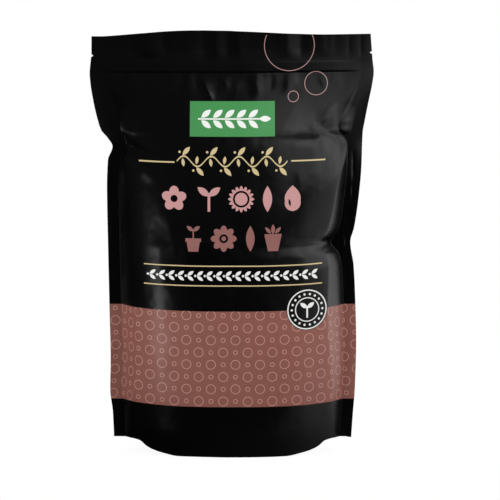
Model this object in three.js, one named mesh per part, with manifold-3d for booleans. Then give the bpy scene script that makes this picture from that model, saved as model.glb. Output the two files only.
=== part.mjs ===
// A stand-up zip pouch of potting compost: filled, heat sealed on all sides and standing on its opened base gusset.
// It is one sealed pack, so it is one solid: two panels of laminate film joined by flat side seals, a header with tear
// notches above the zip, pinched shoulders, and a base film inside a short skirt.
// Millimetres, +Z up. The front panel faces -Y. The origin is the middle of the base, on the ground.

import * as THREE from "three";
import { mergeVertices } from "three/addons/utils/BufferGeometryUtils.js";
import Module from "manifold-3d";

// Driving dimensions of the pouch
const FILM_WIDTH = 301; // across the flat film at the zip, edge to edge
const STAND_HEIGHT = 445; // ground to top edge
const HEADER_HEIGHT = 32; // sealed film above the zip
const ZIP_HEIGHT = 12.5; // band of the zip strip
const ZIP_SWELL = 1.3; // how far the zip strip pushes each panel out
const SHOULDER_HEIGHT = 77; // zip down to the neck, where the fill ends
const SEAL_WIDTH = 12; // flat side seal
const SEAL_THICKNESS = 0.6; // both films of a seal together
const FRONT_DEPTH = 62; // seal plane to the fullest point of the front
const BACK_DEPTH = 59;

// Base: the bottom edge of the film lifts towards its corners, and the gusset lies flat between the skirts
const CORNER_LIFT = 14;
const LIFT_FADE = 120; // height at which the rows of film run level again
const SKIRT_HEIGHT = 7; // sealed rim that hangs below the gusset's seam
const SKIRT_DRAFT = 0.4; // how much thicker the rim is at the gusset's seam
const GROOVE_WIDTH = 6; // rim to where the gusset lies on the ground
const TUCK_HEIGHT = 30; // how far the gusset folds up into the corners
const TUCK_FROM = 0.56; // share of the half width at which that fold begins
const BASE_CREASE_WIDTH = 7;
const BASE_CREASE_DEPTH = 1.6;
const LEAST_POCKET = 2; // half the gap between the skirts below which no gusset shows

// Tear notches in the side seals, below the top edge
const NOTCH_DROP_LEFT = 25;
const NOTCH_DROP_RIGHT = 23.5;
const NOTCH_DEPTH = 2.6;
const NOTCH_HEIGHT = 1.8;

// The empty top of the pouch
const LEFT_TOP_DROP = 7; // the top edge dips towards its corners
const RIGHT_TOP_DROP = 5;
const HEADER_LEAN = 15; // the header leans back from the neck up
const RIGHT_SWEEP = 22; // and its right side sweeps back further
const SWEEP_FROM = 0.03; // share of the film's width, right of its middle, where the sweep begins
const SWEEP_POWER = 1.5;

// Places on the pouch, from the ground up. Each is a share of its own stretch, so the outline follows the heights.
const zipBottom = STAND_HEIGHT - HEADER_HEIGHT - ZIP_HEIGHT;
const zipTop = STAND_HEIGHT - HEADER_HEIGHT;
const neck = zipBottom - SHOULDER_HEIGHT;
const body = (share) => share * neck;
const shoulder = (share) => neck + share * SHOULDER_HEIGHT;
const header = (share) => zipTop + share * HEADER_HEIGHT;

const clamp01 = (value) => Math.min(1, Math.max(0, value));
const smoothstep = (low, high, value) => {
  const s = clamp01((value - low) / (high - low));
  return s * s * (3 - 2 * s);
};

// A smooth curve through [place, value] points, with no overshoot between them, and level past its ends.
function curve(points) {
  const slope = (i) => (points[i + 1][1] - points[i][1]) / (points[i + 1][0] - points[i][0]);
  const tangents = points.map((_, i) => {
    if (i === 0 || i === points.length - 1) return 0;
    const [before, after] = [slope(i - 1), slope(i)];
    return before * after <= 0 ? 0 : (2 * before * after) / (before + after);
  });
  return (place) => {
    if (place <= points[0][0]) return points[0][1];
    const last = points.length - 1;
    if (place >= points[last][0]) return points[last][1];
    const i = points.findIndex((point) => point[0] > place) - 1;
    const run = points[i + 1][0] - points[i][0];
    const s = (place - points[i][0]) / run;
    const [a, b] = [points[i][1], points[i + 1][1]];
    return (
      a * (1 + 2 * s) * (1 - s) ** 2 +
      b * (3 - 2 * s) * s ** 2 +
      run * s * (1 - s) * (tangents[i] * (1 - s) - tangents[i + 1] * s)
    );
  };
}

// How far each side edge draws in from the flat film's width. The fill pulls the sides in, and they buckle at the
// necks on both sides and at one dent on the right.
const leftInset = curve([
  [body(0), 24.8],
  [body(0.12), 23.6],
  [body(0.2), 20.8],
  [body(0.3), 21.4],
  [body(0.47), 20.3],
  [body(0.66), 19.1],
  [body(0.86), 18.1],
  [body(0.955), 19.2],
  [body(1), 24.1],
  [shoulder(0.125), 18.6],
  [shoulder(0.22), 12.4],
  [shoulder(0.38), 8.2],
  [shoulder(0.62), 3.9],
  [shoulder(0.84), 1],
  [shoulder(1), 0],
  [zipTop, 1.1],
  [header(0.3), 1.9],
  [header(1), 1.9],
]);
const rightInset = curve([
  [body(0), 24.6],
  [body(0.12), 22.5],
  [body(0.2), 20.5],
  [body(0.35), 19.2],
  [body(0.53), 20.7],
  [body(0.61), 22.2],
  [body(0.686), 25.7],
  [body(0.735), 21.7],
  [body(0.82), 17.6],
  [body(0.93), 14.2],
  [shoulder(0.18), 12.7],
  [shoulder(0.335), 10.5],
  [shoulder(0.57), 6.8],
  [shoulder(0.82), 2.5],
  [shoulder(1), 0.7],
  [zipTop, 2],
  [header(0.3), 2.7],
  [header(1), 4],
]);

// Flat film between the side seal and the edge of the swell: a wing at each shoulder, and a pocket at the dent.
const leftWing = curve([
  [body(0), 0.4],
  [body(0.9), 0.4],
  [body(1), 3],
  [shoulder(0.2), 8],
  [shoulder(0.5), 10],
  [shoulder(0.8), 4],
  [shoulder(1), 0.4],
]);
const rightWing = curve([
  [body(0), 0.6],
  [body(0.6), 0.4],
  [body(0.65), 1.8],
  [body(0.686), 9.2],
  [body(0.72), 5.2],
  [body(0.76), 3.4],
  [body(0.93), 3.2],
  [body(1), 4],
  [shoulder(0.11), 5.5],
  [shoulder(0.2), 13],
  [shoulder(0.27), 16],
  [shoulder(0.4), 14],
  [shoulder(0.64), 8],
  [shoulder(0.89), 1.5],
  [shoulder(1), 0.4],
]);

// Share of the full depth at each height, and how the section's sides meet the flat film: steeply below 1, and over 1
// they run out into it.
const depthShare = curve([
  [body(0), 0.84],
  [body(0.09), 0.93],
  [body(0.24), 0.99],
  [body(0.38), 1],
  [body(0.6), 0.95],
  [body(0.8), 0.85],
  [body(0.93), 0.735],
  [body(1), 0.64],
  [shoulder(0.2), 0.53],
  [shoulder(0.45), 0.355],
  [shoulder(0.7), 0.175],
  [shoulder(0.9), 0.055],
  [shoulder(1), 0.02],
  [zipTop, 0.012],
  [header(0.4), 0],
]);
const sideTaper = curve([
  [body(0), 0.86],
  [body(0.2), 0.74],
  [body(0.4), 0.68],
  [body(0.85), 0.68],
  [body(1), 0.8],
  [shoulder(0.3), 1.15],
  [shoulder(0.7), 1.4],
  [shoulder(1), 1.4],
]);
const SECTION_POWER = 2.5;

// Folds in the film as soft ridges. Each is its middle across the bulge (-1 left to 1 right) and up the pouch, the
// way it runs in degrees from level, its length, its width, and how far it stands out (or sinks in, if negative).
const frontFolds = [
  { across: 0.9, up: shoulder(0.56), runs: 62, length: 26, width: 5, out: 1.6 },
  { across: 0.84, up: shoulder(0.12), runs: 118, length: 15, width: 6, out: 2.6 },
  { across: 0.98, up: shoulder(0.23), runs: 0, length: 13, width: 4.5, out: -4 },
  { across: 0.96, up: body(0.69), runs: 6, length: 10, width: 6, out: -1.5 },
  { across: 0.66, up: body(0.725), runs: 0, length: 20, width: 7, out: -0.8 },
  { across: 0.6, up: body(0.68), runs: 0, length: 17, width: 8, out: 1.2 },
  { across: -0.93, up: body(0.995), runs: -22, length: 20, width: 6, out: -3.5 },
  { across: -0.8, up: body(0.93), runs: -24, length: 16, width: 8, out: 1.6 },
  { across: -0.52, up: body(0.7), runs: 86, length: 30, width: 20, out: -1.7 },
  { across: -0.2, up: shoulder(0.78), runs: 118, length: 10, width: 4, out: 1.6 },
  { across: 0.2, up: shoulder(0.82), runs: 95, length: 11, width: 6, out: 1.2 },
  { across: 0.45, up: shoulder(0.86), runs: 84, length: 10, width: 6, out: 1.2 },
];
const backFolds = [
  { across: -0.86, up: shoulder(0.5), runs: 118, length: 28, width: 6, out: 3.2 },
  { across: 0.86, up: shoulder(0.5), runs: 62, length: 28, width: 6, out: 3 },
  { across: 0.9, up: body(0.69), runs: 6, length: 18, width: 7, out: -5 },
  { across: -0.9, up: body(0.995), runs: -35, length: 20, width: 6, out: -4.5 },
  { across: -0.5, up: body(0.8), runs: 75, length: 46, width: 13, out: 1.6 },
  { across: 0.35, up: body(0.72), runs: 100, length: 44, width: 14, out: 1.4 },
  { across: 0.1, up: shoulder(0.72), runs: 92, length: 14, width: 6, out: 1.5 },
];

// Bends of the unfilled header, whose two films wave together. Each is its middle as a share of the film's width, its
// width, and how far it bends back (or forward, if negative).
const headerFolds = [
  { at: -0.29, width: 11, back: -1.2 },
  { at: -0.1, width: 7, back: 1.1 },
  { at: -0.06, width: 7, back: -1 },
  { at: -0.012, width: 7, back: 1 },
  { at: 0.02, width: 8, back: -0.8 },
  { at: 0.19, width: 9, back: -0.9 },
  { at: 0.237, width: 8, back: 0.9 },
  { at: 0.33, width: 9, back: -0.6 },
];

// Mesh fineness: columns over each panel's swell, and rows between the levels that the outline needs
const SWELL_COLUMNS = 42;
const ROW_STRETCHES = [
  { top: body(0.1), rows: 3 },
  { top: body(0.6), rows: 8 },
  { top: body(0.78), rows: 7 },
  { top: body(0.93), rows: 4 },
  { top: shoulder(0.3), rows: 8 },
  { top: shoulder(0.94), rows: 7 },
  { top: zipBottom, rows: 1 },
  { top: zipTop, rows: 4 },
  { top: header(1), rows: 4 },
];

// The columns of a row: the seal's outer and inner edges, then the swell from -1 to 1, closer together at its sides.
function columnPlaces() {
  const places = [{ seal: -1 }, { seal: -0.5 }];
  for (let i = 0; i <= SWELL_COLUMNS; i += 1) {
    const angle = (Math.PI / 2) * ((2 * i) / SWELL_COLUMNS - 1);
    places.push({ across: Math.sin(angle) });
  }
  places.push({ seal: 0.5 }, { seal: 1 });
  return places;
}

function rowLevels() {
  const levels = [0];
  let bottom = 0;
  for (const { top, rows } of ROW_STRETCHES) {
    for (let i = 1; i <= rows; i += 1) levels.push(bottom + ((top - bottom) * i) / rows);
    bottom = top;
  }
  return levels;
}

// The bottom edge's lift and the top edge's dip, for a place across the pouch.
const liftShare = curve([
  [0.5, 0],
  [0.63, 0.155],
  [0.72, 0.31],
  [0.8, 0.56],
  [0.865, 0.93],
  [0.93, 1],
]);
const rimLift = (across) => CORNER_LIFT * liftShare(Math.abs(across));
const topDip = (across) =>
  across < -0.3
    ? LEFT_TOP_DROP * smoothstep(0.3, 1.2, -across)
    : RIGHT_TOP_DROP * smoothstep(-0.2, 0.8, across);

function heightAt(across, level) {
  const lifted = rimLift(across) * clamp01(1 - level / LIFT_FADE);
  return level + lifted - topDip(across) * clamp01((level - zipTop) / HEADER_HEIGHT);
}

// How far the seals' plane bends back: the lean and sweep above the neck, and the bends of the header's two films.
function planeBend(x, z) {
  const lean = HEADER_LEAN * smoothstep(neck - 20, STAND_HEIGHT + 30, z);
  const swept = clamp01((x / FILM_WIDTH - SWEEP_FROM) / (0.5 - SWEEP_FROM)) ** SWEEP_POWER;
  const sweep = RIGHT_SWEEP * swept * smoothstep(neck - 60, zipTop, z);
  const bends = headerFolds.map((fold) => fold.back * Math.exp(-(((x - fold.at * FILM_WIDTH) / fold.width) ** 2)));
  return lean + sweep + smoothstep(header(0), header(0.4), z) * bends.reduce((sum, bend) => sum + bend, 0);
}

// The zip strip inside pushes the film out in a rounded band, and is crushed flat in the side seals.
function zipSwell(z, fullness) {
  const s = (z - zipBottom) / ZIP_HEIGHT;
  return s <= 0 || s >= 1 ? 0 : ZIP_SWELL * Math.sqrt(Math.sin(Math.PI * s)) * fullness;
}

function foldsAt(folds, x, z, halfSwell, middle) {
  return folds.reduce((sum, fold) => {
    const [dx, dz] = [x - middle - fold.across * halfSwell, z - fold.up];
    const angle = THREE.MathUtils.degToRad(fold.runs);
    const along = (dx * Math.cos(angle) + dz * Math.sin(angle)) / fold.length;
    const beside = (dz * Math.cos(angle) - dx * Math.sin(angle)) / fold.width;
    return sum + fold.out * Math.exp(-(along ** 2) - beside ** 2);
  }, 0);
}

// A point of one panel: side -1 is the front, 1 the back.
function panelPoint(place, level, side) {
  const across = place.across ?? Math.sign(place.seal);
  const z = heightAt(across, level);
  const [left, right] = [leftInset(z) - FILM_WIDTH / 2, FILM_WIDTH / 2 - rightInset(z)];
  const swellLeft = left + SEAL_WIDTH + leftWing(z);
  const swellRight = right - SEAL_WIDTH - rightWing(z);
  const [middle, half] = [(swellLeft + swellRight) / 2, (swellRight - swellLeft) / 2];
  let x = middle + half * across;
  if (place.seal === -1) x = left;
  if (place.seal === 1) x = right;
  if (place.seal === -0.5) x = left + SEAL_WIDTH;
  if (place.seal === 0.5) x = right - SEAL_WIDTH;

  const profile = Math.max(0, 1 - Math.abs(across) ** SECTION_POWER) ** sideTaper(z);
  const share = depthShare(z);
  const depth = (side < 0 ? FRONT_DEPTH : BACK_DEPTH) * share * profile;
  const folds = foldsAt(side < 0 ? frontFolds : backFolds, x, z, half, middle);
  const foldShare = clamp01(4 * profile);
  const out = Math.max(0, depth + folds * foldShare) + zipSwell(z, clamp01(3 * profile));
  return new THREE.Vector3(x, side * (SEAL_THICKNESS / 2 + out) + planeBend(x, z), z);
}

// A column of the base, from the front rim to the back rim: skirt, groove, gusset with its middle crease, and back.
// Close to the side seals the panels all but touch, and the column runs straight across.
function baseColumn(front, back, across) {
  const half = (back.y - front.y) / 2;
  const middle = (back.y + front.y) / 2;
  if (half < LEAST_POCKET) return [front, back];
  const room = clamp01(half / (2 * GROOVE_WIDTH));
  const lift = front.z;
  const tuck = TUCK_HEIGHT * smoothstep(TUCK_FROM, 1, Math.abs(across)) * clamp01(half / 4);
  const floor = lift * smoothstep(0, 0.5, Math.abs(across)) + tuck;
  const skirtTop = Math.max(lift + SKIRT_HEIGHT * room, floor);
  const crease = BASE_CREASE_DEPTH * room;
  const profile = [
    [SEAL_THICKNESS * room, lift],
    [(SEAL_THICKNESS + SKIRT_DRAFT) * room, skirtTop],
    [(GROOVE_WIDTH / 2) * room, (skirtTop + floor) / 2],
    [GROOVE_WIDTH * room, floor],
  ];
  const creaseHalf = (BASE_CREASE_WIDTH / 2) * room;
  const fromRim = profile.map(([inset, z]) => [half - inset, z]);
  const halfway = (fromRim[3][0] + creaseHalf) / 2;
  const frontHalf = [...fromRim, [halfway, floor], [creaseHalf, floor]];
  const points = frontHalf.map(([away, z]) => new THREE.Vector3(front.x, middle - away, z));
  points.push(new THREE.Vector3(front.x, middle, floor + crease));
  frontHalf.reverse().forEach(([away, z]) => points.push(new THREE.Vector3(front.x, middle + away, z)));
  return [front, ...points, back];
}

// Triangles between two neighbouring base columns, which may hold different numbers of points.
function baseStrip(left, right) {
  const corners = [];
  if (left.length === right.length) {
    for (let k = 0; k < left.length - 1; k += 1) {
      corners.push(left[k], left[k + 1], right[k + 1], left[k], right[k + 1], right[k]);
    }
    return corners;
  }
  const narrowIsLeft = left.length < right.length;
  const [narrow, wide] = narrowIsLeft ? [left, right] : [right, left];
  const turn = (a, b, c) => (narrowIsLeft ? corners.push(a, b, c) : corners.push(a, c, b));
  const half = (wide.length - 1) / 2;
  for (let k = 0; k < wide.length - 1; k += 1) {
    const hub = k < half ? narrow[0] : narrow[1];
    turn(hub, wide[k + 1], wide[k]);
  }
  turn(narrow[0], narrow[1], wide[half]);
  return corners;
}

// Closes the two panels, the base, the top edge and both side edges into one surface.
function pouchGeometry() {
  const columns = columnPlaces();
  const levels = rowLevels();
  const front = levels.map((level) => columns.map((place) => panelPoint(place, level, -1)));
  const back = levels.map((level) => columns.map((place) => panelPoint(place, level, 1)));
  const base = columns.map((place, i) =>
    baseColumn(front[0][i], back[0][i], place.across ?? Math.sign(place.seal)),
  );

  const corners = [];
  const quad = (a, b, c, d) => corners.push(a, b, c, a, c, d);
  for (let r = 0; r < levels.length - 1; r += 1) {
    for (let c = 0; c < columns.length - 1; c += 1) {
      quad(front[r][c], front[r][c + 1], front[r + 1][c + 1], front[r + 1][c]);
      quad(back[r][c], back[r + 1][c], back[r + 1][c + 1], back[r][c + 1]);
    }
    const last = columns.length - 1;
    quad(back[r][0], front[r][0], front[r + 1][0], back[r + 1][0]);
    quad(front[r][last], back[r][last], back[r + 1][last], front[r + 1][last]);
  }
  const top = levels.length - 1;
  for (let c = 0; c < columns.length - 1; c += 1) {
    quad(front[top][c], front[top][c + 1], back[top][c + 1], back[top][c]);
    corners.push(...baseStrip(base[c], base[c + 1]));
  }
  const geometry = new THREE.BufferGeometry().setFromPoints(corners);
  return mergeVertices(geometry, 1e-3);
}

function solidFrom(wasm, geometry) {
  return new wasm.Manifold(
    new wasm.Mesh({
      numProp: 3,
      vertProperties: geometry.attributes.position.array,
      triVerts: new Uint32Array(geometry.index.array),
    }),
  );
}

// A V-shaped tear notch, cut from the seal's outer edge inwards.
function notchGeometry(sign, drop) {
  const z = heightAt(sign, STAND_HEIGHT - drop);
  const edge = sign < 0 ? leftInset(z) - FILM_WIDTH / 2 : FILM_WIDTH / 2 - rightInset(z);
  const outside = edge + sign * NOTCH_DEPTH;
  const outline = new THREE.Shape([
    new THREE.Vector2(edge - sign * NOTCH_DEPTH, z),
    new THREE.Vector2(outside, z + NOTCH_HEIGHT),
    new THREE.Vector2(outside, z - NOTCH_HEIGHT),
  ]);
  const reach = 3 * (HEADER_LEAN + RIGHT_SWEEP);
  const geometry = new THREE.ExtrudeGeometry(outline, { depth: reach, bevelEnabled: false });
  geometry.rotateX(Math.PI / 2);
  geometry.translate(0, reach / 2, 0);
  geometry.deleteAttribute("normal");
  geometry.deleteAttribute("uv");
  return mergeVertices(geometry, 1e-3);
}

const wasm = await Module();
wasm.setup();
const notches = [notchGeometry(-1, NOTCH_DROP_LEFT), notchGeometry(1, NOTCH_DROP_RIGHT)];
const solid = notches.reduce(
  (pouch, notch) => pouch.subtract(solidFrom(wasm, notch)),
  solidFrom(wasm, pouchGeometry()),
);

function geometryFrom(manifold) {
  const mesh = manifold.getMesh();
  const geometry = new THREE.BufferGeometry();
  geometry.setAttribute("position", new THREE.BufferAttribute(new Float32Array(mesh.vertProperties), 3));
  geometry.setIndex(new THREE.BufferAttribute(new Uint32Array(mesh.triVerts), 1));
  geometry.computeVertexNormals();
  return geometry;
}

// The film's asymmetry shifts its box a little, so the pouch is set back over the middle of the ground it stands on.
const pouchShape = geometryFrom(solid);
pouchShape.computeBoundingBox();
const boxMiddle = pouchShape.boundingBox.getCenter(new THREE.Vector3());
pouchShape.translate(-boxMiddle.x, -boxMiddle.y, -pouchShape.boundingBox.min.z);

const blackFilm = new THREE.MeshStandardMaterial({ color: 0x161617, roughness: 0.45, metalness: 0 });
const pouch = new THREE.Mesh(pouchShape, blackFilm);
pouch.name = "pouch";

const compostBag = new THREE.Group();
compostBag.add(pouch);

export default compostBag;
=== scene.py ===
"""A filled stand-up zip pouch of potting compost: its film panels with their creases, its print and its light."""

import math
from functools import partialmethod

import bpy
import numpy as np
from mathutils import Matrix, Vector

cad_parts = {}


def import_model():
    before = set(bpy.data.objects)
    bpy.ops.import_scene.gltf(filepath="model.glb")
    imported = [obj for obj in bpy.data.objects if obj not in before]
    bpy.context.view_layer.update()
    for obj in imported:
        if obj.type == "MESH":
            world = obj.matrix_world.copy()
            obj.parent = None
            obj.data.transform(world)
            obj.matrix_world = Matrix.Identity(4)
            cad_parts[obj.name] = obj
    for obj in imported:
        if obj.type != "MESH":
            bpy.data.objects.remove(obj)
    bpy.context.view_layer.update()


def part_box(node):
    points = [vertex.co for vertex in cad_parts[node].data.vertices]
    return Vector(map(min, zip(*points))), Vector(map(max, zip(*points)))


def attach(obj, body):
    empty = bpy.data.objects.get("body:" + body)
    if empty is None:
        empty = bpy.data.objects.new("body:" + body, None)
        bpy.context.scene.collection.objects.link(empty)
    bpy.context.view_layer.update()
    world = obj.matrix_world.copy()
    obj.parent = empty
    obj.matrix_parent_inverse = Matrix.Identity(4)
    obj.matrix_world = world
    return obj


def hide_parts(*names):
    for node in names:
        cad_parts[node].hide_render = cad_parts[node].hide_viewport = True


MM = 0.001

# The pouch's dimensions in millimetres, as the solid has them
FILM_WIDTH = 301
STAND_HEIGHT = 445
HEADER_HEIGHT = 32
ZIP_HEIGHT = 12.5
ZIP_SWELL = 1.3
SWELL_SHARE = 0.42  # how much of the strip's swell shows on one film
ZIP_LINE_DEPTH = 0.4
ZIP_LINE_WIDTH = 0.8
SHOULDER_HEIGHT = 77
SEAL_WIDTH = 12
SEAL_THICKNESS = 0.6
FRONT_DEPTH = 62
BACK_DEPTH = 59
CORNER_LIFT = 14
LIFT_FADE = 120
TUCK_FROM = 0.56
SKIRT_HEIGHT = 7
SKIRT_DRAFT = 0.4  # how far the skirt's lining leans in
GROOVE_WIDTH = 6
TUCK_HEIGHT = 30
BASE_CREASE_WIDTH = 7
BASE_CREASE_DEPTH = 1.6
LEAST_POCKET = 2
NOTCH_DROP_LEFT = 25
NOTCH_DROP_RIGHT = 23.5
NOTCH_DEPTH = 2.6
NOTCH_HEIGHT = 1.8
LEFT_TOP_DROP = 7
RIGHT_TOP_DROP = 5
HEADER_LEAN = 15
RIGHT_SWEEP = 22
SWEEP_FROM = 0.03
SWEEP_POWER = 1.5
SECTION_POWER = 2.5
WALL_SLOPE = 1.7  # steepest rise of the swell from the seal
LEAST_OUT = -0.15  # how far a pressed line may sink into the film's thickness

ZIP_BOTTOM = STAND_HEIGHT - HEADER_HEIGHT - ZIP_HEIGHT
ZIP_TOP = STAND_HEIGHT - HEADER_HEIGHT
NECK = ZIP_BOTTOM - SHOULDER_HEIGHT


def body(share):
    """Height at a share of the body, counted from the ground to the neck."""
    return share * NECK


def shoulder(share):
    """Height at a share of the shoulder, counted from the neck to the zip."""
    return NECK + share * SHOULDER_HEIGHT


def header(share):
    """Height at a share of the header, counted from the zip to the top edge."""
    return ZIP_TOP + share * HEADER_HEIGHT


def smoothstep(low, high, value):
    """0 at low and 1 at high, with a soft turn at both and level past them."""
    s = np.clip((value - low) / (high - low), 0, 1)
    return s * s * (3 - 2 * s)


def curve(points):
    """A smooth curve through (place, value) points, with no overshoot between them, and level past its ends."""
    places, values = np.array(points, dtype=float).T
    runs = np.diff(places)
    slopes = np.diff(values) / runs
    tangents = np.zeros(len(places))
    before, after = slopes[:-1], slopes[1:]
    turning = before * after <= 0
    total = np.where(turning, 1, before + after)
    tangents[1:-1] = np.where(turning, 0, 2 * before * after / total)

    def read(place):
        place = np.clip(place, places[0], places[-1])
        i = np.clip(np.searchsorted(places, place, side="right") - 1, 0, len(runs) - 1)
        s = (place - places[i]) / runs[i]
        ends = values[i] * (1 + 2 * s) * (1 - s) ** 2 + values[i + 1] * (3 - 2 * s) * s**2
        return ends + runs[i] * s * (1 - s) * (tangents[i] * (1 - s) - tangents[i + 1] * s)

    return read


# How far each side edge draws in from the flat film's width
left_inset = curve(
    [
        (body(0), 24.8), (body(0.12), 23.6), (body(0.2), 20.8), (body(0.3), 21.4), (body(0.47), 20.3),
        (body(0.66), 19.1), (body(0.86), 18.1), (body(0.955), 19.2), (body(1), 24.1),
        (shoulder(0.125), 18.6), (shoulder(0.22), 12.4), (shoulder(0.38), 8.2), (shoulder(0.62), 3.9),
        (shoulder(0.84), 1), (shoulder(1), 0), (ZIP_TOP, 1.1), (header(0.3), 1.9), (header(1), 1.9),
    ]
)
right_inset = curve(
    [
        (body(0), 24.6), (body(0.12), 22.5), (body(0.2), 20.5), (body(0.35), 19.2), (body(0.53), 20.7),
        (body(0.61), 22.2), (body(0.686), 25.7), (body(0.735), 21.7), (body(0.82), 17.6),
        (body(0.93), 14.2), (shoulder(0.18), 12.7), (shoulder(0.335), 10.5), (shoulder(0.57), 6.8),
        (shoulder(0.82), 2.5), (shoulder(1), 0.7), (ZIP_TOP, 2), (header(0.3), 2.7), (header(1), 4),
    ]
)

# Flat film between the side seal and the edge of the swell
left_wing = curve(
    [
        (body(0), 0.4), (body(0.9), 0.4), (body(1), 3), (shoulder(0.2), 8), (shoulder(0.5), 10),
        (shoulder(0.8), 4), (shoulder(1), 0.4),
    ]
)
right_wing = curve(
    [
        (body(0), 0.6), (body(0.6), 0.4), (body(0.65), 1.8), (body(0.686), 9.2), (body(0.72), 5.2),
        (body(0.76), 3.4), (body(0.93), 3.2), (body(1), 4), (shoulder(0.11), 5.5), (shoulder(0.2), 13),
        (shoulder(0.27), 16), (shoulder(0.4), 14), (shoulder(0.64), 8), (shoulder(0.89), 1.5), (shoulder(1), 0.4),
    ]
)

# Share of the full depth at each height, and how the section's sides meet the flat film
depth_share = curve(
    [
        (body(0), 0.84), (body(0.09), 0.93), (body(0.24), 0.99), (body(0.38), 1), (body(0.6), 0.95),
        (body(0.8), 0.85), (body(0.93), 0.735), (body(1), 0.64), (shoulder(0.2), 0.53),
        (shoulder(0.45), 0.355), (shoulder(0.7), 0.175), (shoulder(0.9), 0.055), (shoulder(1), 0.02),
        (ZIP_TOP, 0.012), (header(0.4), 0),
    ]
)
side_taper = curve(
    [
        (body(0), 0.86), (body(0.2), 0.74), (body(0.4), 0.68), (body(0.85), 0.68), (body(1), 0.8),
        (shoulder(0.3), 1.15), (shoulder(0.7), 1.4), (shoulder(1), 1.4),
    ]
)

# Broad folds, as the solid has them: (middle across the bulge, up, runs in degrees, length, width, out)
FRONT_FOLDS = [
    (0.9, shoulder(0.56), 62, 26, 5, 1.6),
    (0.84, shoulder(0.12), 118, 15, 6, 1.7),
    (0.98, shoulder(0.14), 0, 13, 5, -3.5),
    (0.96, body(0.69), 6, 10, 6, -1.5),
    (0.66, body(0.725), 0, 20, 7, -0.8),
    (0.6, body(0.68), 0, 17, 8, 1.2),
    (-0.93, body(0.995), -22, 20, 6, -3.5),
    (-0.8, body(0.93), -24, 16, 8, 1.6),
    (-0.52, body(0.7), 86, 30, 20, -1.7),
    (-0.2, shoulder(0.78), 118, 10, 4, 1.6),
    (0.2, shoulder(0.82), 95, 11, 6, 1.2),
    (0.45, shoulder(0.86), 84, 10, 6, 1.2),
]
BACK_FOLDS = [
    (-0.86, shoulder(0.5), 118, 28, 6, 3.2),
    (0.86, shoulder(0.5), 62, 28, 6, 3),
    (0.9, body(0.69), 6, 18, 7, -5),
    (-0.9, body(0.995), -35, 20, 6, -4.5),
    (-0.5, body(0.8), 75, 46, 13, 1.6),
    (0.35, body(0.72), 100, 44, 14, 1.4),
    (0.1, shoulder(0.72), 92, 14, 6, 1.5),
]

# Bends of the header's two films: (middle as a share of the film's width, width, how far back)
HEADER_FOLDS = [
    (-0.29, 11, -1.2),
    (-0.1, 7, 1.1),
    (-0.06, 7, -1),
    (-0.012, 7, 1),
    (0.02, 8, -0.8),
    (0.19, 9, -0.75),
    (0.237, 8, 0.75),
    (0.33, 9, -0.6),
]

# Sharp creases of the film, finer than the folds: (from x, from z, to x, to z, width, out, step).
# A step lifts one side of the line over the other, as a bent sheet does.
FRONT_CREASES = [
    (143, 404, 113, 350, 2.0, 1.5, -1.3),
    (124, 388, 104, 362, 7, -0.4, -0.4),
    (87, 349, 103, 320, 2.2, 0.3, -1.1),
    (94, 334.5, 147, 337.5, 5.4, -0.6, 6.2),
    (62, 231, 97, 231.5, 2.2, -0.35, 0.5),
    (-116, 328, -84, 317.5, 2, -0.8, 0.4),
    (-107, 371, -87, 327, 7, 0.5, 0.3),
    (-30.5, 393, -21, 372, 2.2, 2.6, 0.6),
    (-12, 397, -4, 384, 2.6, 0.5, 0.2),
    (18, 398, 30, 378, 3.4, 0.5, 0.3),
    (44, 399, 40, 380, 4, -0.3, 0.3),
    (64, 396, 76, 376, 5, 0.4, 0.3),
    (92, 398, 98, 382, 5, 0.4, 0.2),
    (-68, 262, -60, 204, 14, 0.7, 0.5),
    (-60, 306, -64, 272, 8, 0.5, 0.4),
    (70, 306, 76, 262, 10, 0.5, 0.4),
    (-96, 120, -98, 66, 8, 0.4, 0.3),
]
BACK_CREASES = [
    (-137, 398, -112, 354, 5, 1.3, 0.6),
    (136, 396, 110, 352, 5, 1.2, -0.6),
    (117, 226, 70, 232, 5, -1.4, 0.8),
    (114, 216, 60, 204, 6, 0.8, 0.5),
    (-134, 340, -92, 318, 4, -1.2, 0.8),
    (-110, 336, -70, 350, 5, 0.7, -0.5),
    (30, 398, 18, 370, 4, 1.0, 0.4),
    (-44, 398, -30, 376, 4, 0.9, 0.4),
    (76, 398, 84, 380, 4, 0.7, -0.4),
    (52, 306, 30, 240, 9, 0.8, 0.6),
    (-60, 280, -74, 200, 9, 0.7, 0.5),
]

# Upright creases of the empty header: (x, width, how far back, where each ends below the top edge)
HEADER_CREASE_LEAN = 0.05
HEADER_CREASES = [
    (-29.5, 3.2, 0.35, 28),
    (-19, 3, -0.3, 27),
    (-3.5, 3, 0.3, 28),
    (5, 2.8, -0.25, 26),
    (40, 3.4, 0.25, 24),
    (56.5, 3, -0.3, 27),
    (72, 2.8, 0.3, 27),
    (81, 2.8, -0.25, 25),
    (99, 3.4, 0.2, 22),
    (-74, 4, 0.4, 20),
]

# Fine creases through both films of the side seals: (x, from z, to z, width, how far back)
SEAL_CREASE_ENDS = 14  # length over which each fades out
SEAL_CREASES = [
    (124, 282, 226, 1.8, 0.5),
    (128.5, 264, 236, 1.5, -0.4),
    (121, 198, 160, 1.8, 0.4),
    (127.5, 322, 286, 1.5, 1.6),
    (124, 302, 268, 1.4, -1.4),
    (120, 266, 236, 1.4, 1.4),
    (127, 286, 260, 1.4, 1.2),
    (117.5, 234, 210, 1.5, -1.3),
    (-120, 246, 176, 2.2, -0.6),
    (-125, 300, 262, 2, 0.4),
    (-122, 118, 84, 2, 0.4),
]

# Mesh fineness: columns and rows of the film panels, and steps along the gusset's groove and flat
SWELL_COLUMNS = 206
SEAL_COLUMNS = 14
WING_COLUMNS = 8
ROW_HEIGHT = 1.2
GROOVE_STEPS = 8
FLAT_STEPS = 14

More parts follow.
